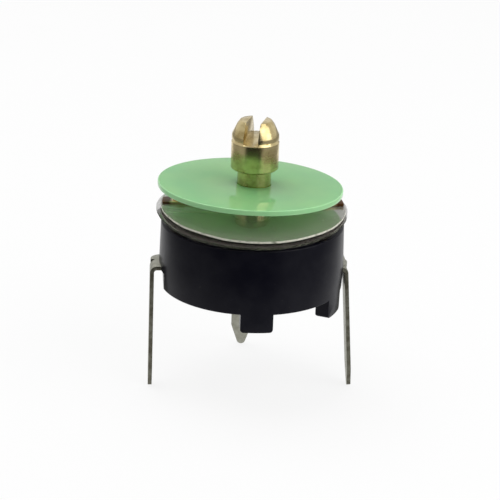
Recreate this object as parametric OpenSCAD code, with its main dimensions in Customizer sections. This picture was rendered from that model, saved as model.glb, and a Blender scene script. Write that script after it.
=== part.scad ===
// Single-turn film trimmer capacitor for through-hole mounting.
// The origin is on the rotor axis, at the plane that the feet stand on. +Z is up, and +Y is the
// side of the rotor lead.

/* [Base] */
// Diameter of the base at its rim
base_rim_d = 9.29; // [9.2:0.01:9.36]
// Diameter of the base at its parting line, where it is widest
base_mid_d = 9.43; // [9.36:0.01:9.5]
// Diameter of the base at its underside
base_foot_d = 9.33; // [9.2:0.01:9.36]
// Height of the base from its underside to its rim
base_h = 3.36; // [3.3:0.01:3.4]
// Thickness of the cup wall at the rim
wall_t = 0.47; // [0.4:0.01:0.48]
// Thickness of the cup floor
floor_t = 0.93; // [0.85:0.01:0.95]
// Height of the feet
foot_h = 0.92; // [0.8:0.01:1]
// Width of a foot
foot_w = 1.62; // [1.4:0.01:1.8]
// Radial thickness of a foot
foot_t = 0.69; // [0.55:0.01:0.8]

/* [Leads] */
// Thickness of the lead strip
strip_t = 0.2; // [0.16:0.01:0.24]
// Width of a side tab where it leaves the base
tab_w = 1.84; // [1.7:0.01:2]
// How far the right tab reaches behind the axis where it leaves the base
right_tab_back = 1.42; // [0.95:0.01:1.5]
// Width of a lead's leg
leg_w = 1.10; // [1:0.01:1.2]
// Distance from the rotor axis to the outer face of the left leg at its bend
left_reach = 5.18; // [5:0.01:5.4]
// Distance from the rotor axis to the outer face of the right leg at its bend
right_reach = 4.92; // [4.9:0.01:5.2]
// Outward splay of the left leg, degrees
left_splay = 0.3; // [0:0.1:4]
// Outward splay of the right leg, degrees
right_splay = 4.3; // [0:0.1:5]
// Distance from the rotor axis to the middle of the rear leg
rear_reach = 5.08; // [5:0.01:5.2]
// Length of the leads below the feet
lead_len = 4.70; // [3:0.01:6]

/* [Plates and films] */
// Thickness of a brass plate
plate_t = 0.16; // [0.12:0.01:0.16]
// Thickness of a film
film_t = 0.10; // [0.06:0.01:0.1]
// Distance from one stator plate in the cup to the next
pitch = 0.65; // [0.65:0.01:0.66]
// Outer radius of the rotor plates
rotor_r = 3.15; // [2.8:0.01:3.15]
// Outer radius of the stator plates
stator_r = 3.45; // [3.3:0.01:3.5]
// Radius of the top stator plate across its ears
top_ear_r = 4.6; // [4.3:0.01:4.65]
// Radius of the lower large film, which covers the rim
rim_film_r = 4.85; // [4.8:0.01:4.9]
// How far the rim film sits off the rotor axis, to the left
rim_film_offset = 0.06; // [0:0.01:0.1]
// Radius of the upper large film
top_film_r = 4.7; // [4.65:0.01:4.8]
// Height of the underside of the rim film at its back
rim_film_z = 4.86; // [4.86:0.01:4.95]
// Downward slope of the rim film in front, degrees
rim_film_slope = 5.7; // [5:0.1:6]
// Downward slope of the top film in front, degrees
top_film_slope = 3.4; // [3:0.1:4.8]

/* [Spindle] */
// Diameter of the adjuster head
head_d = 2.40; // [2.3:0.01:2.5]
// Diameter of the neck
neck_d = 1.70; // [1.6:0.01:1.8]
// Height of the head's lower face
head_z = 7.03; // [6.9:0.01:7.1]
// Height of the top of the head
top_z = 9.54; // [9.48:0.01:9.6]
// Width of the screwdriver slot
slot_w = 0.74; // [0.6:0.01:0.9]
// How far the slot sits off the rotor axis
slot_shift = 0.02; // [0:0.01:0.1]
// Rise of the slot's floor towards its back end, degrees
slot_tilt = 3.4; // [0:0.1:3.5]
// Direction of the slot, degrees from +X
slot_dir = 72.6; // [0:0.1:180]

/* [Cover disc] */
// Diameter of the green disc
disc_d = 9.35; // [9:0.01:9.5]
// Thickness of the green disc
disc_t = 0.27; // [0.2:0.01:0.3]
// Height of the disc's upper face at the rotor axis
disc_z = 6.24; // [6.2:0.01:6.35]
// Sideways tilt of the disc, low on the right, degrees
disc_tilt_side = 1.81; // [0:0.01:2.6]
// Tilt of the disc along Y, low at the back, degrees
disc_tilt_back = 1.53; // [0:0.01:2]
// How far the disc sits off the rotor axis, to the left
disc_offset = 0.16; // [0:0.01:0.2]

/* [Hidden] */
$fn = 96;
EPS = 0.01;

// Cup
rim_z = foot_h + base_h;
floor_z = foot_h + floor_t;
foot_r = base_foot_d / 2;
mid_r = base_mid_d / 2;
parting_z = foot_h + 1.0;
rim_r = base_rim_d / 2;
cup_r = rim_r - wall_t;
edge_r = 0.09;
foot_taper = 0.02;
foot_corner_r = 0.16;
foot_dirs = [-90, -26.5, 30, 150];
// Inner end of the windows for the side tabs, inside the cup
window_x = 3.8;
// Flats below the side tabs
left_relief_x = 4.49;
right_relief_x = 4.65;
relief_w = 2.8;

// Running fit of the spindle in the floor
journal_r = 0.72;
journal_gap = 0.04;
boss_r = 1.2;
boss_z = 2.28;

// Recess under the floor for the rotor contact and its washers
well_r = 2.0;
well_z = foot_h + 0.42;
contact_r = 1.5;
contact_hole_r = 0.82;
fit_gap = 0.02;

// Leads
bend_r = 0.14;
tab_inner_x = 3.1;
tab_z = floor_z + strip_t;
tip_r = 0.24;
tip_len = 1.1;
// The tabs end in ears beside the legs, each with one rounded corner
left_corner_r = 0.62;
right_corner_r = 0.3;
ear_inset = 0.04;
ear_inner_x = 4.1;
// The side legs hang from the front part of their tabs
side_leg_y = (leg_w - tab_w) / 2;

// Stator posts
post_x = 3.66;
post_y = 0.35;
post_r = 0.25;
post_foot_z = floor_z - 0.6;
rivet_r = 0.4;
rivet_top_r = 0.28;
rivet_h = 0.14;
stator_spacer_r = 0.42;
film_notch_r = 0.48;

// Heights of the stack, from the lead tabs up
cup_gap = (pitch - 2 * plate_t - 2 * film_t) / 2;
function in_cup_stator_z(i) = tab_z + (i - 1) * pitch;
top_film_z = rim_film_z + film_t;
top_stator_z = top_film_z + film_t;
function stator_z(i) = i < 5 ? in_cup_stator_z(i) : top_stator_z;
// Underside of whatever lies over the spacers on stator plate i
function over_spacer_z(i) = i < 4 ? stator_z(i + 1) : rim_film_z;
function rotor_z(i) = stator_z(i) + plate_t + film_t + cup_gap;
rivet_z = top_stator_z + plate_t;
// Films 1, 3, 5 and 7 lie on stator plates 1 to 4, and films 2, 4 and 6 lie under plates 2 to 4
function film_z(i) = i % 2 == 1 ? stator_z((i + 1) / 2) + plate_t : stator_z(i / 2 + 1) - film_t;

// Plan of the plates and films
in_cup_ear_r = 4.12;
in_cup_film_r = 4.1;
plate_front_y = -0.1;
ear_back_y = 0.8;
hub_clear_r = 1.45;
rotor_hub_r = 1.3;
film_hub_hole_r = 1.3;
large_film_hole_r = 1.0;
rotor_spacer_r = 1.15;
key_half_w = 0.52;

// The large films bend down just in front of the top stator plate
film_bend_y = plate_front_y;

// Spindle
head_r = head_d / 2;
neck_r = neck_d / 2;
neck_z = rotor_z(4) + plate_t;
head_chamfer = 0.08;
slot_z = 8.57;
band_z = 8.45;
groove_z = 8.57;
groove_h = 0.04;
groove_r = head_r - 0.09;
collar_r = head_r - 0.01;
cone_z = 8.84;
cone_r = head_r - 0.02;
break_z = top_z - 0.18;
break_r = 0.935;
cone_top_r = 0.8;
washer_t = 0.25;
washer_r = 1.25;
tail_r = 0.5;
spring_t = 0.12;
spring_rise = 0.16;
spring_r = 1.4;
spring_z = well_z - strip_t - EPS;
washer_top_z = spring_z - spring_t - spring_rise;
washer_z = washer_top_z - washer_t;
peen_r = 0.74;
peen_end_r = 0.52;
peen_h = 0.18;
peen_side_h = 0.07;
peen_z = washer_z - peen_h;

STATORS = [1:5];
ROTORS = [1:4];
FILMS = [1:7];
STATOR_SPACERS = [1:4];
ROTOR_SPACERS = [1:3];
SIDES = ["left", "right"];

// ---- Shared shapes ----

// Points of a quarter round of radius r about c, from angle a to angle a + 90
function quarter(c, r, a) = [for (k = [0:6]) c + r * [cos(a + 15 * k), sin(a + 15 * k)]];

// A turned ring
module ring(outer_r, inner_r, z, h) {
    translate([0, 0, z])
        difference() {
            cylinder(h = h, r = outer_r);
            translate([0, 0, -EPS]) cylinder(h = h + 2 * EPS, r = inner_r);
        }
}

// Whatever is drawn for the left post, on the side that is asked for
module at_post(side) {
    translate([side == "left" ? -post_x : post_x, post_y, 0]) children();
}

// Vertical holes at both posts, to the height of the rivets
module post_holes() {
    for (side = SIDES) at_post(side) translate([0, 0, -EPS]) cylinder(h = rivet_z, r = post_r);
}

// The section of the keyed part of the spindle
module key_section(h) {
    intersection() {
        cylinder(h = h, r = journal_r);
        translate([-key_half_w, -journal_r, 0]) cube([2 * key_half_w, 2 * journal_r, h]);
    }
}

// Turns what is drawn so that its +Y points along the slot
module turned_with_slot() {
    rotate([0, 0, slot_dir - 90]) children();
}

// ---- Base ----

// Half section of the cup: drafted both ways from its parting line, rounded edges, bearing boss
module cup_profile() {
    polygon(concat(
        [[0, foot_h], [foot_r - edge_r, foot_h]],
        quarter([foot_r - edge_r, foot_h + edge_r], edge_r, -90),
        [[mid_r, parting_z]],
        quarter([rim_r - edge_r, rim_z - edge_r], edge_r, 0),
        quarter([cup_r + edge_r, rim_z - edge_r], edge_r, 90),
        [[cup_r, floor_z], [boss_r, floor_z], [boss_r, boss_z], [0, boss_z]]
    ));
}

// Half section of the ring that the feet are cut from: tapered outside, rounded inside
module foot_profile(top) {
    inner_r = foot_r - foot_t;
    polygon(concat(
        [[foot_r, top], [inner_r, top]],
        quarter([inner_r + foot_corner_r, foot_corner_r], foot_corner_r, 180),
        [[foot_r - foot_taper, 0]]
    ));
}

// A stand-off foot: a piece of that ring with rounded lower corners
module foot(dir) {
    top = foot_h + edge_r;
    intersection() {
        rotate_extrude() foot_profile(top);
        rotate([0, 0, dir])
            rotate([90, 0, 90])
                linear_extrude(height = foot_r + 1)
                    polygon(concat(
                        [[foot_w / 2, top], [-foot_w / 2, top]],
                        quarter([foot_corner_r - foot_w / 2, foot_corner_r], foot_corner_r, 180),
                        quarter([foot_w / 2 - foot_corner_r, foot_corner_r], foot_corner_r, 270)
                    ));
    }
}

// Room for the right tab, which reaches back to y = back: a window in the wall, and a flat relief
// for the leg below it
module tab_cutouts(back, relief_x) {
    front = tab_w / 2 + fit_gap;
    translate([window_x, -front, floor_z])
        cube([mid_r, front + back + fit_gap, strip_t + fit_gap]);
    translate([relief_x, -relief_w / 2, 0]) cube([mid_r, relief_w, floor_z]);
}

module base() {
    strip_groove_w = leg_w + 2 * fit_gap;
    color([0.07, 0.07, 0.08])
        difference() {
            union() {
                rotate_extrude() cup_profile();
                for (dir = foot_dirs) foot(dir);
            }
            cylinder(h = boss_z + 1, r = journal_r + journal_gap);
            cylinder(h = well_z, r = well_r);
            translate([-strip_groove_w / 2, 0, 0]) cube([strip_groove_w, mid_r + 1, well_z]);
            for (side = SIDES)
                at_post(side) translate([0, 0, post_foot_z]) cylinder(h = floor_t, r = post_r);
            tab_cutouts(right_tab_back, right_relief_x);
            mirror([1, 0, 0]) tab_cutouts(tab_w / 2, left_relief_x);
        }
}

// ---- Leads ----

// A straight leg that hangs from z = 0 and ends in a rounded point, in the YZ plane
module leg_outline(length) {
    half = leg_w / 2;
    taper_z = -length + tip_len;
    tip_z = -length + tip_r;
    polygon(concat(
        [[half, 0], [-half, 0], [-half, taper_z]],
        [for (a = [200:10:340]) [tip_r * cos(a), tip_z + tip_r * sin(a)]],
        [[half, taper_z]]
    ));
}

// Section of a bend in the XZ plane: a ring from the flat tab round to the splayed leg
module bend_section(splay) {
    intersection() {
        difference() {
            circle(r = bend_r + strip_t);
            circle(r = bend_r);
        }
        square(bend_r + strip_t);
        rotate(splay) square(bend_r + strip_t + 1);
    }
}

// Plan of a side tab: round inner end, and an ear behind the leg that reaches back to y = back
module side_tab_plan(reach, bend_x, back, corner_r) {
    half = tab_w / 2;
    ear_x = reach - ear_inset;
    difference() {
        union() {
            translate([tab_inner_x + half, 0]) circle(r = half);
            translate([tab_inner_x + half, -half]) square([bend_x - tab_inner_x - half, tab_w]);
            translate([ear_inner_x, leg_w - half]) square([ear_x - ear_inner_x, back + half - leg_w]);
        }
        translate([ear_x - corner_r, back - corner_r])
            difference() {
                square(2 * corner_r);
                circle(r = corner_r);
            }
    }
}

// A side lead that runs out along +X: flat tab, bend, and splayed leg below the tab's front part
module side_lead(reach, splay, back, corner_r) {
    bend_x = reach - bend_r - strip_t;
    bend_z = tab_z - bend_r - strip_t;
    leg_len = (lead_len + bend_z + bend_r * sin(splay)) / cos(splay);
    difference() {
        union() {
            translate([0, 0, floor_z])
                linear_extrude(height = strip_t) side_tab_plan(reach, bend_x, back, corner_r);
            translate([bend_x, side_leg_y + leg_w / 2, bend_z])
                rotate([90, 0, 0]) linear_extrude(height = leg_w) bend_section(splay);
            translate([bend_x, side_leg_y, bend_z])
                rotate([0, -splay, 0])
                    translate([bend_r, 0, 0])
                        rotate([90, 0, 90])
                            linear_extrude(height = strip_t) leg_outline(leg_len);
        }
        translate([post_x, post_y, floor_z - EPS]) cylinder(h = strip_t + 2 * EPS, r = post_r);
    }
}

module stator_lead_left() {
    color([0.62, 0.62, 0.56])
        mirror([1, 0, 0]) side_lead(left_reach, left_splay, tab_w / 2, left_corner_r);
}

module stator_lead_right() {
    color([0.62, 0.62, 0.56])
        side_lead(right_reach, right_splay, right_tab_back, right_corner_r);
}

// Contact ring under the floor, strip in the groove, bend and straight leg behind the base
module rotor_lead() {
    strip_z = well_z - strip_t;
    bend_y = rear_reach + strip_t / 2 - bend_r - strip_t;
    bend_z = strip_z - bend_r;
    color([0.62, 0.62, 0.56]) {
        difference() {
            union() {
                translate([0, 0, strip_z]) cylinder(h = strip_t, r = contact_r);
                translate([-leg_w / 2, 0, strip_z]) cube([leg_w, bend_y, strip_t]);
                translate([0, bend_y, bend_z])
                    rotate([90, 0, 90])
                        translate([0, 0, -leg_w / 2])
                            linear_extrude(height = leg_w) bend_section(0);
                translate([0, rear_reach + strip_t / 2, bend_z])
                    rotate([90, 0, 0])
                        linear_extrude(height = strip_t) leg_outline(lead_len + bend_z);
            }
            translate([0, 0, strip_z - EPS]) cylinder(h = strip_t + 2 * EPS, r = contact_hole_r);
        }
    }
}

// ---- Stator ----

// A post is staked in the floor, passes the tab and all the plates, and is riveted over the top one
module stator_post(side) {
    color([0.80, 0.68, 0.38])
        at_post(side) {
            translate([0, 0, post_foot_z]) cylinder(h = rivet_z - post_foot_z, r = post_r);
            translate([0, 0, rivet_z]) cylinder(h = rivet_h / 2, r = rivet_r);
            translate([0, 0, rivet_z + rivet_h / 2])
                cylinder(h = rivet_h / 2, r1 = rivet_r, r2 = rivet_top_r);
        }
}

// Half-round plate over the rear, with an ear at each post
module stator_vane(i) {
    ear_r = i < 5 ? in_cup_ear_r : top_ear_r;
    ear_d = ear_back_y - plate_front_y;
    color([0.86, 0.74, 0.42])
        translate([0, 0, stator_z(i)])
            difference() {
                intersection() {
                    cylinder(h = plate_t, r = ear_r);
                    union() {
                        cylinder(h = plate_t, r = stator_r);
                        translate([-ear_r, plate_front_y, 0]) cube([2 * ear_r, ear_d, plate_t]);
                    }
                    translate([-ear_r, plate_front_y, 0]) cube([2 * ear_r, 2 * ear_r, plate_t]);
                }
                translate([0, 0, -EPS]) cylinder(h = plate_t + 2 * EPS, r = hub_clear_r);
                post_holes();
            }
}

// Ring on a post over stator plate i. The highest ones carry the two large films
module stator_spacer(side, i) {
    bottom = stator_z(i) + plate_t;
    color([0.80, 0.68, 0.38])
        at_post(side) ring(stator_spacer_r, post_r, bottom, over_spacer_z(i) - bottom);
}

// ---- Films ----

// Flat film in the cup, notched from its edge round both posts
module film(i) {
    cut_h = film_t + 2 * EPS;
    color([0.85, 0.85, 0.80, 0.5])
        translate([0, 0, film_z(i)])
            difference() {
                cylinder(h = film_t, r = in_cup_film_r);
                translate([0, 0, -EPS]) {
                    cylinder(h = cut_h, r = film_hub_hole_r);
                    for (side = SIDES) at_post(side) cylinder(h = cut_h, r = film_notch_r);
                    for (x = [-post_x - film_notch_r, post_x])
                        translate([x, post_y - film_notch_r, 0])
                            cube([film_notch_r, 2 * film_notch_r, cut_h]);
                }
            }
}

// Side view of a large film, in the YZ plane: level behind, straight slope in front
module bent_strip(z, slope, reach) {
    front_drop = (reach + film_bend_y) * tan(slope);
    polygon([
        [reach, z], [reach, z + film_t], [film_bend_y, z + film_t],
        [-reach, z + film_t - front_drop], [-reach, z - front_drop], [film_bend_y, z]
    ]);
}

// A large film of radius r, cut round from above and set offset_x to the left. The top stator
// plate clamps it on the spacers
module large_film(z, slope, r, offset_x) {
    reach = r + 1;
    difference() {
        intersection() {
            rotate([90, 0, 90])
                translate([0, 0, -reach])
                    linear_extrude(height = 2 * reach) bent_strip(z, slope, reach);
            translate([-offset_x, 0, 0]) cylinder(h = top_z, r = r);
        }
        cylinder(h = top_z, r = large_film_hole_r);
        post_holes();
    }
}

module film_rim() {
    color([0.85, 0.85, 0.80, 0.5])
        large_film(rim_film_z, rim_film_slope, rim_film_r, rim_film_offset);
}

module film_top() {
    color([0.85, 0.85, 0.80, 0.5]) large_film(top_film_z, top_film_slope, top_film_r, 0);
}

// ---- Rotor ----

// Half section of the spindle, from its peened end to the top of the cone
module spindle_profile() {
    polygon([
        [0, peen_z], [peen_end_r, peen_z], [peen_r, washer_z - peen_side_h], [peen_r, washer_z],
        [tail_r, washer_z], [tail_r, washer_top_z], [journal_r, washer_top_z],
        [journal_r, neck_z], [neck_r, neck_z], [neck_r, head_z],
        [head_r - head_chamfer, head_z], [head_r, head_z + head_chamfer], [head_r, band_z],
        [groove_r, groove_z], [collar_r, groove_z + groove_h], [cone_r, cone_z],
        [break_r, break_z], [cone_top_r, top_z], [0, top_z]
    ]);
}

module spindle() {
    flat_z = rotor_z(1);
    slot_len = 2 * head_d;
    color([0.86, 0.74, 0.42])
        turned_with_slot()
            difference() {
                rotate_extrude() spindle_profile();
                for (x = [-key_half_w - head_r, key_half_w])
                    translate([x, -head_r, flat_z]) cube([head_r, head_d, neck_z - flat_z]);
                translate([slot_shift - slot_w / 2, 0, slot_z])
                    rotate([slot_tilt, 0, 0])
                        translate([0, -slot_len / 2, 0]) cube([slot_w, slot_len, top_z]);
            }
}

// Half-round plate with a hub, keyed to the spindle
module rotor_vane(i) {
    color([0.86, 0.74, 0.42])
        turned_with_slot()
            translate([0, 0, rotor_z(i)])
                difference() {
                    union() {
                        cylinder(h = plate_t, r = rotor_hub_r);
                        intersection() {
                            cylinder(h = plate_t, r = rotor_r);
                            translate([-rotor_r, 0, 0]) cube([2 * rotor_r, rotor_r, plate_t]);
                        }
                    }
                    translate([0, 0, -EPS]) key_section(plate_t + 2 * EPS);
                }
}

// Keyed ring between rotor plates i and i + 1
module rotor_spacer(i) {
    bottom = rotor_z(i) + plate_t;
    h = rotor_z(i + 1) - bottom;
    color([0.80, 0.68, 0.38])
        turned_with_slot()
            translate([0, 0, bottom])
                difference() {
                    cylinder(h = h, r = rotor_spacer_r);
                    translate([0, 0, -EPS]) key_section(h + 2 * EPS);
                }
}

// Thin disc with softened edges that grips the neck, tilted and off centre
module cover_disc() {
    r = disc_d / 2;
    soft = 0.05;
    color([0.55, 0.82, 0.58, 0.8])
        difference() {
            translate([-disc_offset, 0, disc_z])
                rotate([-disc_tilt_back, disc_tilt_side, 0])
                    rotate_extrude()
                        polygon([
                            [0, -disc_t], [r - soft, -disc_t], [r, soft - disc_t],
                            [r, -soft], [r - soft, 0], [0, 0]
                        ]);
            translate([0, 0, neck_z]) cylinder(h = head_z - neck_z, r = neck_r);
        }
}

// Dished spring that pushes up on the rotor lead and down on the retaining washer
module spring_washer() {
    inner_r = journal_r;
    bottom = washer_top_z;
    color([0.75, 0.75, 0.72])
        rotate_extrude()
            polygon([
                [inner_r, bottom], [inner_r, bottom + spring_t],
                [spring_r, bottom + spring_t + spring_rise], [spring_r, bottom + spring_rise],
                [inner_r + EPS, bottom]
            ]);
}

module retaining_washer() {
    color([0.80, 0.68, 0.38]) ring(washer_r, tail_r, washer_z, washer_t);
}

base();
stator_lead_left();
stator_lead_right();
rotor_lead();
for (i = STATORS) stator_vane(i);
for (s = SIDES) stator_post(s);
for (s = SIDES) for (i = STATOR_SPACERS)
    stator_spacer(s, i);
for (i = FILMS) film(i);
film_rim();
film_top();
spindle();
for (i = ROTORS) rotor_vane(i);
for (i = ROTOR_SPACERS) rotor_spacer(i);
cover_disc();
spring_washer();
retaining_washer();
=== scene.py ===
import math

import bmesh
import bpy
from mathutils import Matrix, Vector, noise


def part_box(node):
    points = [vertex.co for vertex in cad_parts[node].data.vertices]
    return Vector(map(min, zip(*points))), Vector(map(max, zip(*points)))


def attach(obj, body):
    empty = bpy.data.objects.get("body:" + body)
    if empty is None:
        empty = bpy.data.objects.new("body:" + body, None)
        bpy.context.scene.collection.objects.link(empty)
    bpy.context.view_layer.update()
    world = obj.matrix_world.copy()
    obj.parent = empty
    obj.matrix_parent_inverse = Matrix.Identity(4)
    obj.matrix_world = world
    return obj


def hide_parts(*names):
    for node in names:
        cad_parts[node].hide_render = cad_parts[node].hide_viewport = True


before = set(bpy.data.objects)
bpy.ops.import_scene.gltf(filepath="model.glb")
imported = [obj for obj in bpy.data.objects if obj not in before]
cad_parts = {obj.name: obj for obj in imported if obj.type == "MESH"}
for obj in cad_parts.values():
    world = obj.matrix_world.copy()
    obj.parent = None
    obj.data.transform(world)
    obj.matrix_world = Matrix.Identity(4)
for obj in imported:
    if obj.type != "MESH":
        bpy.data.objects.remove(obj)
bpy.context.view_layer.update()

bl_info = {
    "name": "Film Trimmer Capacitor",
    "version": (1, 0, 0),
    "blender": (4, 5, 0),
    "location": "View3D > Sidebar > Trimmer",
    "description": "Dresses a film trimmer capacitor: moulded base, leads, films, cover disc and adjuster",
    "category": "Add Mesh",
}

MM = 0.001

# The object stands turned a little to the left of the camera
OBJECT_YAW = math.radians(4.7)
AXIS_SHIFT = 0.081 * MM
AIM_Z = 2.64 * MM


# ---- Measures read from the frame, in millimetres ----

def low(node):
    """Lowest corner of a CAD node."""
    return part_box(node)[0] / MM


def high(node):
    """Highest corner of a CAD node."""
    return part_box(node)[1] / MM


TOP_Z = high("spindle").z
TAIL_Z = low("spindle").z
WASHER_Z = low("retaining_washer").z
WASHER_TOP_Z = high("retaining_washer").z
KEY_LOW_Z = low("rotor_vane_1").z
KEY_TOP_Z = high("rotor_vane_4").z
DISC_R = (high("cover_disc").x - low("cover_disc").x) / 2
DISC_X = (high("cover_disc").x + low("cover_disc").x) / 2
TOP_FILM_Z = high("film_top").z
RIM_FILM_Z = high("film_rim").z
FILM_THICK = high("film_1").z - low("film_1").z
FILM_BEND_Y = low("stator_vane_5").y
LEAD_TIP_Z = low("rotor_lead").z

# Fineness of the turned and round pieces
SPINDLE_STEPS = 144
DISC_SEGMENTS = 160
FILM_STEPS = 240
FILM_RINGS = 26
# Points closer than this, in millimetres, are one point
MERGE = 1e-5


# ---- Shader wires ----

class Wire:
    """A shader socket that takes Python arithmetic: each operation adds one Math node."""

    def __init__(self, graph, socket):
        self.graph = graph
        self.socket = socket

    def _math(self, operation, first, second):
        return self.graph.add("ShaderNodeMath", {"operation": operation}, [first, second])

    def __add__(self, other):
        return self._math("ADD", self, other)

    __radd__ = __add__

    def __sub__(self, other):
        return self._math("SUBTRACT", self, other)

    def __rsub__(self, other):
        return self._math("SUBTRACT", other, self)

    def __mul__(self, other):
        return self._math("MULTIPLY", self, other)

    __rmul__ = __mul__

    def __truediv__(self, other):
        return self._math("DIVIDE", self, other)

    def __pow__(self, other):
        return self._math("POWER", self, other)


class Graph:
    """The nodes of one material or of the world."""

    def __init__(self, owner):
        owner.use_nodes = True
        self.tree = owner.node_tree
        self.tree.nodes.clear()

    def add(self, kind, settings=None, inputs=(), out=0):
        """Adds a node. Settings come first, inputs go by place or name, one output comes back."""
        node = self.tree.nodes.new(kind)
        for key, value in (settings or {}).items():
            if key == "ramp":
                self._set_ramp(node.color_ramp, value)
            else:
                setattr(node, key, value)
        pairs = inputs.items() if isinstance(inputs, dict) else enumerate(inputs)
        for key, value in pairs:
            self._plug(node.inputs[key], value)
        if not node.outputs:
            return None
        return Wire(self, node.outputs[out])

    def _plug(self, socket, value):
        if isinstance(value, Wire):
            self.tree.links.new(value.socket, socket)
        else:
            socket.default_value = value

    @staticmethod
    def _set_ramp(ramp, stops):
        while len(ramp.elements) < len(stops):
            ramp.elements.new(0.5)
        for element, (place, colour) in zip(ramp.elements, stops):
            element.position = place
            element.color = colour

    def place(self):
        """Object coordinates."""
        return self.add("ShaderNodeTexCoord", out="Object")

    def axes(self, vector):
        """The three parts of a vector."""
        node = self.tree.nodes.new("ShaderNodeSeparateXYZ")
        self._plug(node.inputs[0], vector)
        return [Wire(self, socket) for socket in node.outputs]

    def light_path(self, kind):
        return self.add("ShaderNodeLightPath", out=kind)

    def facing(self, x, y, azimuth):
        """Cosine of the level angle between a direction and an azimuth."""
        length = (x * x + y * y) ** 0.5
        return (x * math.cos(azimuth) + y * math.sin(azimuth)) / length

    def noise(self, vector, scale, detail=3.0, roughness=0.5):
        """Three-dimensional noise from 0 to 1."""
        inputs = {"Vector": vector, "Scale": scale, "Detail": detail, "Roughness": roughness}
        return self.add("ShaderNodeTexNoise", {}, inputs, out=0)

    def streaks(self, along, scale, detail=4.0):
        """One-dimensional noise of a value, for tool marks and brushed lines."""
        inputs = {"W": along, "Scale": scale, "Detail": detail, "Roughness": 0.6}
        return self.add("ShaderNodeTexNoise", {"noise_dimensions": "1D"}, inputs, out=0)

    def smooth(self, value, start, end):
        """0 below start, 1 above end, and smooth between them."""
        inputs = {"Value": value, "From Min": start, "From Max": end, "To Min": 0.0, "To Max": 1.0}
        settings = {"interpolation_type": "SMOOTHSTEP", "clamp": True}
        return self.add("ShaderNodeMapRange", settings, inputs)

    def blend(self, factor, first, second):
        """A colour between two colours."""
        settings = {"data_type": "RGBA", "clamp_factor": True}
        node = self.tree.nodes.new("ShaderNodeMix")
        for key, value in settings.items():
            setattr(node, key, value)
        for name, value in (("Factor_Float", factor), ("A_Color", first), ("B_Color", second)):
            socket = next(s for s in node.inputs if s.identifier == name)
            self._plug(socket, value)
        return Wire(self, next(s for s in node.outputs if s.identifier == "Result_Color"))

    def bump(self, height, depth, strength=1.0):
        """A normal from a height of 0 to 1 that stands for depth metres."""
        inputs = {"Height": height, "Distance": depth, "Strength": strength}
        return self.add("ShaderNodeBump", {}, inputs)

    def principled(self, **inputs):
        """A Principled shader, with its inputs by name and _ for a space."""
        named = {name.replace("_", " "): value for name, value in inputs.items()}
        return self.add("ShaderNodeBsdfPrincipled", {}, named)

    def mix_shaders(self, factor, first, second):
        return self.add("ShaderNodeMixShader", {}, [factor, first, second])

    def finish(self, shader):
        self.add("ShaderNodeOutputMaterial", {}, [shader])


def rgb(red, green, blue):
    """A colour given as 8-bit screen values, in linear light."""
    def linear(value):
        share = value / 255
        return share / 12.92 if share <= 0.04045 else ((share + 0.055) / 1.055) ** 2.4
    return (linear(red), linear(green), linear(blue), 1.0)


def new_material(name):
    """An empty material and its graph."""
    material = bpy.data.materials.new(name)
    return material, Graph(material)


# ---- Finishes ----

def base_plastic(look):
    """Satin black moulding: fine grain, faint flow marks and dust."""
    material, g = new_material("base_plastic")
    place = g.place()
    grain = g.noise(place, 14000, 4, 0.6)
    flow = g.noise(place, 900, 3, 0.6)
    dust = g.smooth(g.noise(place, 5200, 2, 0.7), 0.70, 0.80)
    colour = g.blend(g.smooth(flow, 0.35, 0.7), look.plastic_dark, look.plastic_light)
    colour = g.blend(dust * 0.12, colour, rgb(110, 106, 98))
    rough = 0.22 + grain * 0.10 + flow * 0.06
    height = grain * 0.6 + flow * 0.4
    shader = g.principled(
        Base_Color=colour, Roughness=rough, IOR=1.5, Specular_IOR_Level=0.10,
        Normal=g.bump(height, 0.006 * MM, 0.5))
    g.finish(shader)
    return material


def turned_brass(look):
    """Turned brass: rings of tool marks round the axis, tarnish and rubbed bright parts."""
    material, g = new_material("turned_brass")
    place = g.place()
    x, y, z = g.axes(place)
    radius = (x * x + y * y) ** 0.5
    rings = g.streaks(z + radius * 0.8, 9000, 5)
    fine = g.streaks(z + radius * 0.6, 42000, 3)
    patches = g.noise(place, 1500, 4, 0.6)
    tarnish = g.smooth(patches + rings * 0.2, 0.42, 0.85)
    colour = g.blend(tarnish, look.brass, look.brass_dull)
    rough = 0.15 + tarnish * 0.10 + fine * 0.08
    height = rings * 0.5 + fine * 0.5
    shader = g.principled(
        Base_Color=colour, Metallic=1.0, Roughness=rough, Normal=g.bump(height, 0.0012 * MM, 0.5))
    g.finish(shader)
    return material


def sheet_brass(look):
    """Stamped brass sheet: rolling lines along X, brown tarnish patches, and more brown towards the rim."""
    material, g = new_material("sheet_brass")
    place = g.place()
    x, y, z = g.axes(place)
    lines = g.streaks(y + z * 0.3, 26000, 4)
    patches = g.noise(place, 1100, 4, 0.65)
    radius = (x * x + y * y) ** 0.5
    # More brown towards the outer rim of the plates
    rim = g.smooth(radius, 3.9 * MM, 4.5 * MM)
    tarnish = g.smooth(patches + rim * 0.7, 0.5, 0.95)
    colour = g.blend(tarnish, look.brass, rgb(92, 62, 38))
    rough = 0.26 + lines * 0.12 + tarnish * 0.15
    shader = g.principled(
        Base_Color=colour, Metallic=1.0, Roughness=rough, Normal=g.bump(lines, 0.006 * MM, 0.4))
    g.finish(shader)
    return material


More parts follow.
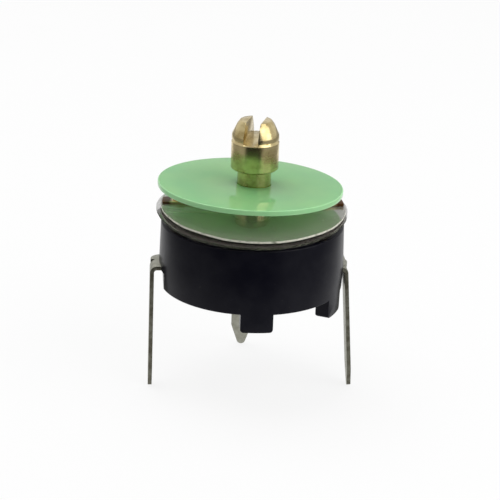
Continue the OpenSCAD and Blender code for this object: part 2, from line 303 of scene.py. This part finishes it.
def tinned_strip(look):
    """Dull tin plate on a stamped strip: soft mottling and drawn lines down its length."""
    material, g = new_material("tinned_strip")
    place = g.place()
    x, y, z = g.axes(place)
    lines = g.streaks(x + y, 30000, 3)
    mottle = g.noise(place, 2600, 5, 0.65)
    spots = g.noise(place, 9000, 3, 0.6)
    colour = g.blend(g.smooth(mottle, 0.3, 0.75), look.tin, look.tin_dull)
    rough = 0.34 + mottle * 0.12 + spots * 0.08
    height = mottle * 0.5 + lines * 0.3 + spots * 0.2
    shader = g.principled(
        Base_Color=colour, Metallic=1.0, Roughness=rough, Normal=g.bump(height, 0.003 * MM, 0.5))
    g.finish(shader)
    return material


def cut_metal(look):
    """The bare cut edge of a stamped strip: darker than its plating, with torn lines across it."""
    material, g = new_material("cut_metal")
    place = g.place()
    x, y, z = g.axes(place)
    torn = g.streaks(z + x * 0.5, 22000, 3)
    stain = g.noise(place, 2400, 3, 0.6)
    colour = g.blend(g.smooth(stain, 0.35, 0.7), look.cut, look.cut_dark)
    shader = g.principled(
        Base_Color=colour, Metallic=1.0, Roughness=0.38 + torn * 0.18,
        Normal=g.bump(torn, 0.004 * MM, 0.5))
    g.finish(shader)
    return material


def spring_steel(look):
    """Bright rolled spring steel."""
    material, g = new_material("spring_steel")
    place = g.place()
    x, y, z = g.axes(place)
    radius = (x * x + y * y) ** 0.5
    lines = g.streaks(radius, 32000, 3)
    colour = g.blend(g.noise(place, 2000), look.tin, rgb(150, 148, 140))
    shader = g.principled(
        Base_Color=colour, Metallic=1.0, Roughness=0.26 + lines * 0.12,
        Normal=g.bump(lines, 0.004 * MM, 0.4))
    g.finish(shader)
    return material


def sheen_over(g, body, ior, normal):
    """Adds the mirror sheen of a glossy sheet over a see-through body."""
    fresnel = g.add("ShaderNodeFresnel", {}, {"IOR": ior, "Normal": normal})
    mirror = g.principled(Base_Color=(1, 1, 1, 1), Metallic=1.0, Roughness=0.05, Normal=normal)
    return g.mix_shaders(fresnel, body, mirror)


def clear_film(look, name, haze):
    """Thin clear film: slight haze, tiny scratches and a strong sheen at low angles."""
    material, g = new_material(name)
    place = g.place()
    waves = g.noise(place, 420, 2, 0.5)
    grain = g.noise(place, 5200, 4, 0.7)
    normal = g.bump(waves * 0.8 + grain * 0.2, 0.006 * MM, 0.35)
    cover = haze * (0.7 + grain * 0.6)
    body = g.principled(Base_Color=look.film, Roughness=0.30, Alpha=cover, Normal=normal)
    g.finish(sheen_over(g, body, 1.9, normal))
    return material


def film_edge(name, colour, cover):
    """The cut edge of a film: cover says how much of it is frosted rather than clear. The colour it is
    given carries painted light: bright for the top film, a painted highlight over a frosted edge, and dark
    for the rim film, painted shade.
    """
    material, g = new_material(name)
    place = g.place()
    bits = g.noise(place, 3800, 4, 0.7)
    shade = g.blend(g.smooth(bits, 0.45, 0.70), colour, rgb(118, 122, 102))
    normal = g.bump(bits, 0.02 * MM, 0.6)
    alpha = g.smooth(bits, 0.25, 0.6) * 0.5 + (cover - 0.25)
    g.finish(g.principled(Base_Color=shade, Roughness=0.35, Alpha=alpha, Normal=normal))
    return material


def green_sheet(look):
    """Translucent green sheet: glossy faces, light that glows through, faint mottling."""
    material, g = new_material("green_sheet")
    place = g.place()
    cloud = g.noise(place, 340, 3, 0.5)
    scuffs = g.smooth(g.noise(place, 5200, 3, 0.7), 0.64, 0.78)
    colour = g.blend(g.smooth(cloud, 0.3, 0.7), look.green, look.green_light)
    normal = g.bump(cloud * 0.8 + scuffs * 0.2, 0.006 * MM, 0.3)
    face = g.principled(Base_Color=colour, Roughness=0.03 + scuffs * 0.08, IOR=2.0, Normal=normal)
    glow = g.add("ShaderNodeBsdfTranslucent", {}, {"Color": look.green_glow, "Normal": normal})
    g.finish(g.mix_shaders(look.green_through, face, glow))
    return material


def green_edge_painted_highlight(look):
    """The disc's edge, an opaque pale green that stands brighter than its faces: painted highlight for the
    light that glows out of the rim.
    """
    material, g = new_material("green_edge_painted_highlight")
    place = g.place()
    cloud = g.noise(place, 1500, 3, 0.6)
    colour = g.blend(cloud, look.green_edge_painted_highlight, look.green_light)
    g.finish(g.principled(Base_Color=colour, Roughness=0.2))
    return material


# ---- Settings ----

def colour_property(name, description, value):
    return bpy.props.FloatVectorProperty(
        name=name, description=description, subtype="COLOR", size=4, min=0, max=1, default=value)


def length_property(name, description, value):
    return bpy.props.FloatProperty(
        name=name, description=description, subtype="DISTANCE", unit="LENGTH", default=value, precision=5)


def size_property(name, description, value):
    """A size in millimetres."""
    return bpy.props.FloatProperty(name=name, description=description, default=value, min=0, precision=3)


def angle_property(name, description, degrees):
    return bpy.props.FloatProperty(
        name=name, description=description, subtype="ANGLE", default=math.radians(degrees))


class TrimmerLook(bpy.types.PropertyGroup):
    """Colours of the finishes."""
    plastic_dark: colour_property("Black plastic", "Main colour of the base", rgb(12, 12, 22))
    plastic_light: colour_property("Flow marks", "Paler marks in the base", rgb(20, 20, 28))
    brass: colour_property("Brass", "Clean brass", rgb(220, 202, 152))
    brass_dull: colour_property("Dull brass", "Tarnished brass", rgb(176, 156, 106))
    tin: colour_property("Tin", "Bright tin plate", rgb(166, 166, 155))
    tin_dull: colour_property("Dull tin", "Dull tin plate", rgb(142, 141, 128))
    cut: colour_property("Cut metal", "Cut edges of the leads", rgb(112, 111, 100))
    cut_dark: colour_property("Stained cut metal", "Darker stretches of the cut edges", rgb(82, 79, 68))
    film: colour_property("Film", "Haze of the clear film", rgb(226, 214, 206))
    # Top film's cut edge: a pale frosted colour, brightened into a painted highlight
    film_edge: colour_property("Film edge", "Cut edge of the film", rgb(240, 240, 224))
    # Rim film's cut edge: the same cut edge darkened, painted shade
    film_edge_painted_shade: colour_property("Dim film edge", "Cut edge of the rim film", rgb(96, 98, 84))
    film_haze: bpy.props.FloatProperty(
        name="Film haze", description="How much of the light a clear film stops", subtype="FACTOR",
        default=0.12, min=0, max=1)
    film_haze_top: bpy.props.FloatProperty(
        name="Top film haze", description="How much of the light the top film stops", subtype="FACTOR",
        default=0.36, min=0, max=1)
    green: colour_property("Green", "Cover disc", rgb(150, 212, 158))
    green_light: colour_property("Pale green", "Paler clouds in the cover disc", rgb(172, 220, 162))
    green_glow: colour_property("Glow", "Light through the cover disc", rgb(204, 246, 196))
    # Colour of the disc's rim: painted highlight
    green_edge_painted_highlight: colour_property("Green edge", "Edge of the cover disc", rgb(146, 216, 150))
    green_through: bpy.props.FloatProperty(
        name="Translucency", description="Share of the light that passes the cover disc", subtype="FACTOR",
        default=0.5, min=0, max=1)


class SpindleShape(bpy.types.PropertyGroup):
    """Turned profile of the adjuster, in millimetres."""
    head_d: size_property("Head diameter", "Diameter of the adjuster head", 2.40)
    neck_d: size_property("Neck diameter", "Diameter of the neck", 1.70)
    journal_d: size_property("Journal diameter", "Diameter of the part that turns in the floor", 1.44)
    tail_d: size_property("Tail diameter", "Diameter of the tail that holds the washer", 1.00)
    peen_d: size_property("Peened diameter", "Diameter of the peened end", 1.48)
    key_w: size_property("Key width", "Width over the two flats that carry the plates", 1.04)
    head_z: size_property("Head height", "Height of the head's lower face", 7.03)
    band_z: size_property("Band height", "Height where the band above the cylinder starts", 8.45)
    groove_z: size_property("Groove height", "Height of the bottom of the groove", 8.57)
    groove_w: size_property("Groove width", "From the bottom of the groove to its upper edge", 0.04)
    groove_depth: size_property("Groove depth", "Depth of the groove", 0.09)
    cone_z: size_property("Cone height", "Height where the cone starts", 8.84)
    cone_end_d: size_property("Cone end", "Diameter at the upper end of the cone", 1.87)
    top_d: size_property("Top diameter", "Diameter of the flat top", 1.60)
    top_edge: size_property("Top edge", "Height of the chamfer at the top", 0.18)
    slot_w: size_property("Slot width", "Width of the screwdriver slot", 0.74)
    slot_z: size_property("Slot floor", "Height of the slot's floor at the rotor axis", 8.57)
    slot_shift: size_property("Slot offset", "How far the slot sits off the rotor axis", 0.02)
    slot_tilt: angle_property("Slot tilt", "Rise of the slot's floor towards the back", 3.4)
    slot_dir: angle_property("Slot direction", "Direction of the slot from the X axis", 72.6)
    edge: size_property("Edge", "Softening of the sharp edges", 0.018)


class DiscShape(bpy.types.PropertyGroup):
    """How the cover disc sits, in millimetres."""
    thickness: size_property("Thickness", "Thickness of the disc", 0.27)
    top_z: size_property("Height", "Height of the upper face at the middle of the disc", 6.24)
    tilt_side: angle_property("Sideways tilt", "Tilt that lowers the right side", 1.81)
    tilt_back: angle_property("Backward tilt", "Tilt that lowers the back", 1.53)
    edge: size_property("Edge", "Softening of the rim", 0.05)


class FilmShape(bpy.types.PropertyGroup):
    """How the two large films lie, in millimetres."""
    hole_r: size_property("Hole radius", "Radius of the hole round the neck", 1.0)
    top_slope: angle_property("Top film slope", "How steeply the top film falls in front", 3.4)
    rim_slope: angle_property("Rim film slope", "How steeply the rim film falls in front", 5.7)
    bend: size_property("Bend", "Length over which the films bend down", 0.8)
    lift: size_property("Lift", "How far the left edge of the top film stands up", 0.09)
    ripple: size_property("Ripple", "Waviness of the free edges", 0.045)
    ragged: size_property("Ragged edge", "How uneven the cut edge is", 0.030)


class StageShape(bpy.types.PropertyGroup):
    """Floor, lights and camera."""
    floor_size: length_property("Floor", "Width of the floor", 2.0)
    # On the floor the dark part is painted shade; in the world it is dimmer light
    dark_azimuth: angle_property("Dark side", "Middle of the dark part of the studio", -100.2)
    dark_start: length_property("Dark floor", "Where the dark part of the floor starts", 15 * MM)
    strip_half: length_property("Paper", "Half the width of the white paper beside the object", 18 * MM)
    strip_spread: bpy.props.FloatProperty(
        name="Paper spread", description="How fast the paper widens towards the back", default=0.16, min=0)
    side_level: bpy.props.FloatProperty(
        name="Side light", description="Brightness of the studio at the sides", default=0.82, min=0)
    distance: length_property("Camera distance", "From the camera to the rotor axis", 90 * MM)
    elevation: angle_property("Elevation", "Camera height angle", 20.26)
    roll: angle_property("Roll", "Camera roll", 2.0)
    lens: bpy.props.FloatProperty(
        name="Lens", description="Focal length in millimetres", default=126.9, min=1)


# ---- Shared mesh helpers. Pieces are built in millimetres and scaled when they are finished ----

def finish_piece(bm, name, body, nodes, materials, smooth_angle=30):
    """Makes the object of a finished bmesh, in place of the CAD nodes that it stands for."""
    bmesh.ops.scale(bm, verts=bm.verts, vec=(MM, MM, MM))
    made = object_from(bm, name, materials, smooth_angle)
    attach(made, body)
    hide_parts(*nodes)
    return made


def object_from(bm, name, materials, smooth_angle=30):
    """Makes the object of a finished bmesh, shaded smooth up to an angle."""
    mesh = bpy.data.meshes.new(name)
    bm.to_mesh(mesh)
    bm.free()
    for material in materials:
        mesh.materials.append(material)
    made = bpy.data.objects.new(name, mesh)
    bpy.context.scene.collection.objects.link(made)
    mesh.shade_smooth()
    mesh.set_sharp_from_angle(angle=math.radians(smooth_angle))
    return made


def turned(points, steps):
    """A turned body: a profile of (radius, height) points spun round the Z axis."""
    bm = bmesh.new()
    verts = [bm.verts.new((radius, 0, height)) for radius, height in points]
    edges = [bm.edges.new(pair) for pair in zip(verts, verts[1:])]
    bmesh.ops.spin(
        bm, geom=verts + edges, cent=(0, 0, 0), axis=(0, 0, 1), angle=math.tau, steps=steps, use_merge=True)
    bmesh.ops.remove_doubles(bm, verts=bm.verts, dist=MERGE)
    bmesh.ops.recalc_face_normals(bm, faces=bm.faces)
    return bm


def soften(bm, width, degrees=40, segments=2):
    """Bevels every edge that is sharper than an angle."""
    sharp = [e for e in bm.edges if e.is_manifold and e.calc_face_angle() > math.radians(degrees)]
    bmesh.ops.bevel(
        bm, geom=sharp, offset=width, segments=segments, profile=0.5, affect="EDGES",
        clamp_overlap=True, material=-1)


def softened_copy(node, name, body, materials, width, cut_axis=0):
    """A copy of a CAD node with its sharp edges softened, shown in its place.

    With two materials, the second goes on the faces that look along the cut axis.
    """
    bm = bmesh.new()
    bm.from_mesh(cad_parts[node].data)
    bmesh.ops.scale(bm, verts=bm.verts, vec=(1 / MM, 1 / MM, 1 / MM))
    bmesh.ops.remove_doubles(bm, verts=bm.verts, dist=1e-4)
    bmesh.ops.dissolve_limit(bm, angle_limit=math.radians(0.5), verts=bm.verts, edges=bm.edges)
    soften(bm, width)
    for face in bm.faces:
        across = abs(face.normal[cut_axis]) > 0.6
        face.material_index = 1 if across and len(materials) > 1 else 0
    return finish_piece(bm, name, body, [node], materials, 35)


def paint(node, material):
    """Gives a CAD node one material."""
    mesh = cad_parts[node].data
    mesh.materials.clear()
    mesh.materials.append(material)


def nodes_named(*starts):
    """Names of the CAD nodes that start with one of the given words."""
    return sorted(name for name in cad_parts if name.startswith(starts))


# ---- Spindle ----

def spindle_profile(shape):
    """Half section from the peened tail to the flat top."""
    head_r, neck_r, journal_r = shape.head_d / 2, shape.neck_d / 2, shape.journal_d / 2
    peen_r, peen_flat_r = shape.peen_d / 2, shape.peen_d * 0.35
    peen_side_z = TAIL_Z + 0.6 * (WASHER_Z - TAIL_Z)
    chamfer, collar_inset, cone_inset = 0.08, 0.01, 0.02
    flat_step = 0.01
    groove_end_z = shape.groove_z + shape.groove_w
    return [
        (0, TAIL_Z), (peen_flat_r, TAIL_Z), (peen_r, peen_side_z), (peen_r, WASHER_Z),
        (shape.tail_d / 2, WASHER_Z), (shape.tail_d / 2, WASHER_TOP_Z),
        (journal_r, WASHER_TOP_Z), (journal_r, KEY_LOW_Z - flat_step), (journal_r, KEY_LOW_Z),
        (journal_r, KEY_TOP_Z - flat_step), (journal_r, KEY_TOP_Z),
        (neck_r, KEY_TOP_Z), (neck_r, shape.head_z),
        (head_r - chamfer, shape.head_z), (head_r, shape.head_z + chamfer), (head_r, shape.band_z),
        (head_r - shape.groove_depth, shape.groove_z), (head_r - collar_inset, groove_end_z),
        (head_r - cone_inset, shape.cone_z), (shape.cone_end_d / 2, TOP_Z - shape.top_edge),
        (shape.top_d / 2, TOP_Z), (0, TOP_Z),
    ]


def press_flats(bm, half_width):
    """Presses the keyed part of a turned spindle flat on both sides."""
    for vert in bm.verts:
        if KEY_LOW_Z - 0.001 < vert.co.z < KEY_TOP_Z - 0.001:
            vert.co.x = max(-half_width, min(half_width, vert.co.x))


def cut_slot(bm, shape):
    """Saws a slot along Y down to a tilted floor, and closes its walls and floor with faces."""
    floor_at = Vector((0, 0, shape.slot_z))
    floor_up = Vector((0, -math.sin(shape.slot_tilt), math.cos(shape.slot_tilt)))
    walls = [shape.slot_shift - shape.slot_w / 2, shape.slot_shift + shape.slot_w / 2]

    def above_floor():
        return [f for f in bm.faces if (f.calc_center_median() - floor_at).dot(floor_up) > MERGE]

    def cut(faces, place, direction):
        edges = {e for f in faces for e in f.edges}
        verts = {v for f in faces for v in f.verts}
        geometry = [*faces, *edges, *verts]
        bmesh.ops.bisect_plane(bm, geom=geometry, dist=MERGE, plane_co=place, plane_no=direction)

    cut(list(bm.faces), floor_at, floor_up)
    for wall in walls:
        cut(above_floor(), (wall, 0, 0), (1, 0, 0))
    sawn = [f for f in above_floor() if walls[0] < f.calc_center_median().x < walls[1]]
    bmesh.ops.delete(bm, geom=sawn, context="FACES")

    rim = [e for e in bm.edges if e.is_boundary]
    floor_edges = []
    for wall in walls:
        side = [e for e in rim if all(abs(v.co.x - wall) < 1e-4 for v in e.verts)]
        ends = [v for v in {v for e in side for v in e.verts} if sum(e in side for e in v.link_edges) == 1]
        floor_edge = bm.edges.new(ends)
        floor_edges.append(floor_edge)
        bmesh.ops.contextual_create(bm, geom=[*side, floor_edge])
        rim = [e for e in rim if e not in side]
    bmesh.ops.contextual_create(bm, geom=[*rim, *floor_edges])
    bmesh.ops.recalc_face_normals(bm, faces=bm.faces)


# ---- Cover disc ----

def disc_body(shape, neck_r):
    """Thin disc with a hole that is off centre, because the disc sits off the rotor axis."""
    bm = bmesh.new()
    outer = bmesh.ops.create_circle(bm, segments=DISC_SEGMENTS, radius=DISC_R)["verts"]
    inner = bmesh.ops.create_circle(bm, segments=DISC_SEGMENTS, radius=neck_r)["verts"]
    bmesh.ops.translate(bm, verts=inner, vec=(-DISC_X, 0, 0))
    bmesh.ops.bridge_loops(bm, edges=list({e for v in outer + inner for e in v.link_edges}))
    lower = bmesh.ops.extrude_face_region(bm, geom=list(bm.faces))["geom"]
    moved = [item for item in lower if isinstance(item, bmesh.types.BMVert)]
    bmesh.ops.translate(bm, verts=moved, vec=(0, 0, -shape.thickness))
    bmesh.ops.recalc_face_normals(bm, faces=bm.faces)
    soften(bm, shape.edge, segments=3)
    # The rim faces take the second material, the painted highlight
    for face in bm.faces:
        away = math.hypot(face.calc_center_median().x, face.calc_center_median().y)
        face.material_index = 1 if away > DISC_R - 2 * shape.edge and abs(face.normal.z) < 0.99 else 0
    turn = Matrix.Rotation(-shape.tilt_back, 4, "X") @ Matrix.Rotation(shape.tilt_side, 4, "Y")
    bmesh.ops.transform(bm, matrix=Matrix.Translation((DISC_X, 0, shape.top_z)) @ turn, verts=bm.verts)
    return bm


# ---- Large films ----

def film_body(shape, node, level, slope, lift, seed):
    """A round film: level behind, sloping down in front, with a wavy and unevenly cut edge."""
    radius = (high(node).x - low(node).x) / 2
    offset = (high(node).x + low(node).x) / 2
    width = radius - shape.hole_r
    points = [(shape.hole_r + width * k / FILM_RINGS, level) for k in range(FILM_RINGS + 1)]
    bm = turned(points, FILM_STEPS)
    for vert in bm.verts:
        x, y = vert.co.x, vert.co.y
        away = math.hypot(x, y) / radius
        angle = math.atan2(y, x)
        round_trip = Vector((math.cos(angle), math.sin(angle), seed))
        trim = noise.noise(round_trip * 9.0) * 0.6 + noise.noise(round_trip * 26.0) * 0.4
        pull = 1 - shape.ragged / radius * (0.5 + trim) * away ** 12
        fall = (FILM_BEND_Y - y) * math.tan(slope)
        knee = shape.bend * math.tan(slope)
        drop = (fall + math.sqrt(fall * fall + knee * knee)) / 2 - knee / 2
        wave = noise.noise(round_trip * 2.2) * shape.ripple * away ** 3
        tip = lift * max(0.0, -x / radius) * away * away
        vert.co = (x * pull + offset * away ** 2, y * pull, level - max(0.0, drop) + wave + tip)
    lower = bmesh.ops.extrude_face_region(bm, geom=list(bm.faces))["geom"]
    moved = [item for item in lower if isinstance(item, bmesh.types.BMVert)]
    bmesh.ops.translate(bm, verts=moved, vec=(0, 0, -FILM_THICK))
    bmesh.ops.recalc_face_normals(bm, faces=bm.faces)
    for face in bm.faces:
        face.material_index = 1 if abs(face.normal.z) < 0.5 else 0
    return bm


# ---- Operators ----

class TRIMMER_OT_base(bpy.types.Operator):
    """Finish the moulded base"""
    bl_idname = "trimmer.base"
    bl_label = "Moulded Base"

    def execute(self, context):
        black = base_plastic(context.scene.trimmer_look)
        cup = softened_copy("base", "moulded_base", "stator", [black], 0.03)
        return {"FINISHED"}


class TRIMMER_OT_leads(bpy.types.Operator):
    """Make the three stamped leads"""
    bl_idname = "trimmer.leads"
    bl_label = "Leads"

    def execute(self, context):
        look = context.scene.trimmer_look
        finishes = [tinned_strip(look), cut_metal(look)]
        for node in nodes_named("stator_lead", "rotor_lead"):
            cut_axis = 0 if node == "rotor_lead" else 1
            strip = softened_copy(node, node + "_strip", "stator", finishes, 0.03, cut_axis)
        return {"FINISHED"}


class TRIMMER_OT_plates(bpy.types.Operator):
    """Finish the plates, posts, spacers and washers"""
    bl_idname = "trimmer.plates"
    bl_label = "Plates and Spacers"

    def execute(self, context):
        look = context.scene.trimmer_look
        sheet = sheet_brass(look)
        brass = turned_brass(look)
        for node in nodes_named("stator_vane", "rotor_vane", "retaining_washer"):
            paint(node, sheet)
        for node in nodes_named("stator_post", "stator_spacer", "rotor_spacer"):
            paint(node, brass)
        paint("spring_washer", spring_steel(look))
        plate = softened_copy("stator_vane_5", "top_stator_plate", "stator", [sheet], 0.03)
        return {"FINISHED"}


class TRIMMER_OT_spindle(bpy.types.Operator):
    """Turn the adjuster and saw its slot"""
    bl_idname = "trimmer.spindle"
    bl_label = "Spindle"

    def execute(self, context):
        shape = context.scene.trimmer_spindle
        bm = turned(spindle_profile(shape), SPINDLE_STEPS)
        press_flats(bm, shape.key_w / 2)
        cut_slot(bm, shape)
        soften(bm, shape.edge, 38)
        turn = Matrix.Rotation(shape.slot_dir - math.pi / 2, 4, "Z")
        bmesh.ops.transform(bm, matrix=turn, verts=bm.verts)
        brass = turned_brass(context.scene.trimmer_look)
        made = finish_piece(bm, "adjuster_spindle", "rotor", ["spindle"], [brass], 32)
        return {"FINISHED"}


class TRIMMER_OT_films(bpy.types.Operator):
    """Lay the two large films and finish the small ones"""
    bl_idname = "trimmer.films"
    bl_label = "Films"

    def execute(self, context):
        look = context.scene.trimmer_look
        shape = context.scene.trimmer_films
        clear = clear_film(look, "clear_film", look.film_haze)
        hazy = clear_film(look, "hazy_film", look.film_haze_top)
        for node in nodes_named("film"):
            paint(node, clear)
        # Bright edge: frosted, and brightened into a painted highlight. Dim edge: the same cut edge
        # darkened into painted shade.
        bright = film_edge("frosted_edge_and_painted_highlight", look.film_edge, 0.85)
        dim = film_edge("dim_edge_painted_shade", look.film_edge_painted_shade, 0.30)
        # Node, height, slope, lift of its left edge, seed of its ripples, and its two materials
        large = (
            ("film_top", TOP_FILM_Z, shape.top_slope, shape.lift, 1.7, hazy, bright),
            ("film_rim", RIM_FILM_Z, shape.rim_slope, 0.0, 5.3, clear, dim),
        )
        for node, level, slope, lift, seed, sheet, edge in large:
            bm = film_body(shape, node, level, slope, lift, seed)
            made = finish_piece(bm, node + "_sheet", "stator", [node], [sheet, edge], 30)
        return {"FINISHED"}


class TRIMMER_OT_cover(bpy.types.Operator):
    """Set the green cover disc on the neck"""
    bl_idname = "trimmer.cover"
    bl_label = "Cover Disc"

    def execute(self, context):
        look = context.scene.trimmer_look
        bm = disc_body(context.scene.trimmer_disc, context.scene.trimmer_spindle.neck_d / 2)
        sheets = [green_sheet(look), green_edge_painted_highlight(look)]
        made = finish_piece(bm, "green_cover_disc", "rotor", ["cover_disc"], sheets)
        return {"FINISHED"}


class TRIMMER_OT_stage(bpy.types.Operator):
    """Make the floor, the lights, the world and the camera"""
    bl_idname = "trimmer.stage"
    bl_label = "Stage"

    def execute(self, context):
        stage = context.scene.trimmer_stage
        self.make_floor(stage)
        self.make_world(stage)
        self.make_lights()
        self.make_camera(context, stage)
        context.scene.view_settings.view_transform = "Standard"
        return {"FINISHED"}

    @staticmethod
    def make_floor(stage):
        """White paper; beyond it the floor is painted grey, and in front, where the camera doesn't look, it
        is painted dark: painted shade that dims what the object reflects and the light the floor throws
        back.
        """
        bm = bmesh.new()
        bmesh.ops.create_grid(bm, x_segments=2, y_segments=2, size=stage.floor_size / 2)
        bmesh.ops.translate(bm, verts=bm.verts, vec=(0, 0, (LEAD_TIP_Z - 0.01) * MM))
        material, g = new_material("floor_paper_and_painted_shade")
        place = g.place()
        x, y, z = g.axes(place)
        in_front = g.smooth(g.facing(x, y, stage.dark_azimuth), 0.62, 0.86)
        beyond = g.smooth(y * -1.0, stage.dark_start, 1.5 * stage.dark_start)
        # Painted shade: the floor in front, towards the camera, is painted dark
        dark = in_front * beyond
        out = g.add("ShaderNodeMath", {"operation": "ABSOLUTE"}, [x]) - y * stage.strip_spread
        # Painted shade: the floor beyond the paper is painted grey
        side_painted_shade = g.smooth(out, stage.strip_half, 1.5 * stage.strip_half)
        fibres = g.noise(place, 60, 4, 0.6)
        paper = g.blend(fibres, (0.80, 0.80, 0.80, 1), (0.84, 0.84, 0.84, 1))
        # From here paper also carries the painted grey and the painted dark front
        paper = g.blend(side_painted_shade, paper, (0.35, 0.35, 0.35, 1))
        paper = g.principled(Base_Color=g.blend(dark, paper, (0.03, 0.03, 0.03, 1)), Roughness=0.9)
        # The floor's own glow, seen by camera, glossy and transmission rays, carries the same painted shade
        glow = g.blend(side_painted_shade, (1, 1, 1, 1), (0.35, 0.35, 0.35, 1))
        glow = g.blend(dark, glow, (0.02, 0.02, 0.02, 1))
        white = g.add("ShaderNodeEmission", {}, {"Color": glow, "Strength": 1.0})
        # How much of the floor shows its own white, where it isn't lit by the lamps
        own_white = 0.84
        shown = g.light_path("Is Camera Ray")
        for kind in ("Is Glossy Ray", "Is Transmission Ray"):
            shown = g.add("ShaderNodeMath", {"operation": "MAXIMUM"}, [shown, g.light_path(kind)])
        g.finish(g.mix_shaders(shown * own_white, paper, white))
        object_from(bm, "floor", [material])

    @staticmethod
    def make_world(stage):
        """Bright behind the object, middling at the sides and above, dark towards the camera."""
        world = bpy.data.worlds.new("studio")
        bpy.context.scene.world = world
        g = Graph(world)
        x, y, z = g.axes(g.add("ShaderNodeTexCoord", out="Generated"))
        facing = g.facing(x, y, stage.dark_azimuth)
        front = g.smooth(facing, 0.60, 0.88) * (1 - g.smooth(z, 0.25, 0.80) * 0.6)
        back = g.smooth(facing * -1.0, 0.1, 0.8)
        level = stage.side_level + back * (1 - stage.side_level) - front * (stage.side_level - 0.08)
        g.add("ShaderNodeOutputWorld", {}, [g.add("ShaderNodeBackground", {}, {"Strength": level})])

    @staticmethod
    def make_lights():
        # Place, width in metres and power in watts
        lamps = {
            "softbox_top": ((-0.05, 0.03, 0.21), 0.16, 0.20),
            "softbox_right": ((0.145, -0.105, 0.110), 0.21, 0.235),
        }
        for name, (place, width, power) in lamps.items():
            data = bpy.data.lights.new(name, "AREA")
            data.shape = "SQUARE"
            data.size = width
            data.energy = power
            lamp = bpy.data.objects.new(name, data)
            lamp.location = place
            aim = Vector((0, 0, 5 * MM)) - lamp.location
            lamp.rotation_mode = "QUATERNION"
            lamp.rotation_quaternion = aim.to_track_quat("-Z", "Y")
            bpy.context.scene.collection.objects.link(lamp)

    @staticmethod
    def make_camera(context, stage):
        data = bpy.data.cameras.new("camera")
        data.lens = stage.lens
        data.sensor_width = 36
        data.clip_start = 1 * MM
        data.clip_end = 5
        camera = bpy.data.objects.new("camera", data)
        context.scene.collection.objects.link(camera)
        sideways = Vector((-AXIS_SHIFT, -math.cos(stage.elevation) * stage.distance, 0))
        place = Matrix.Rotation(-OBJECT_YAW, 4, "Z") @ sideways
        place.z = AIM_Z + math.sin(stage.elevation) * stage.distance
        turn = Matrix.Rotation(-OBJECT_YAW, 4, "Z") @ Matrix.Rotation(math.pi / 2 - stage.elevation, 4, "X")
        camera.matrix_world = Matrix.Translation(place) @ turn @ Matrix.Rotation(stage.roll, 4, "Z")
        context.scene.camera = camera


class TRIMMER_PT_sidebar(bpy.types.Panel):
    """Lists the steps and the settings"""
    bl_idname = "TRIMMER_PT_sidebar"
    bl_label = "Trimmer Capacitor"
    bl_space_type = "VIEW_3D"
    bl_region_type = "UI"
    bl_category = "Trimmer"

    def draw(self, context):
        for operator in OPERATORS:
            self.layout.operator(operator.bl_idname)
        for group in (getattr(context.scene, name) for name in GROUPS):
            box = self.layout.box()
            for name in group.bl_rna.properties.keys():
                if name not in ("rna_type", "name"):
                    box.prop(group, name)


OPERATORS = (
    TRIMMER_OT_stage,
    TRIMMER_OT_base,
    TRIMMER_OT_leads,
    TRIMMER_OT_plates,
    TRIMMER_OT_spindle,
    TRIMMER_OT_films,
    TRIMMER_OT_cover,
)
GROUPS = {
    "trimmer_look": TrimmerLook,
    "trimmer_spindle": SpindleShape,
    "trimmer_disc": DiscShape,
    "trimmer_films": FilmShape,
    "trimmer_stage": StageShape,
}
CLASSES = (*GROUPS.values(), *OPERATORS, TRIMMER_PT_sidebar)


def register():
    for cls in CLASSES:
        bpy.utils.register_class(cls)
    for name, group in GROUPS.items():
        setattr(bpy.types.Scene, name, bpy.props.PointerProperty(type=group))


def unregister():
    for name in GROUPS:
        delattr(bpy.types.Scene, name)
    for cls in reversed(CLASSES):
        bpy.utils.unregister_class(cls)


def main():
    register()
    bpy.ops.trimmer.stage()
    bpy.ops.trimmer.base()
    bpy.ops.trimmer.leads()
    bpy.ops.trimmer.plates()
    bpy.ops.trimmer.spindle()
    bpy.ops.trimmer.films()
    bpy.ops.trimmer.cover()


if __name__ == "__main__":
    main()
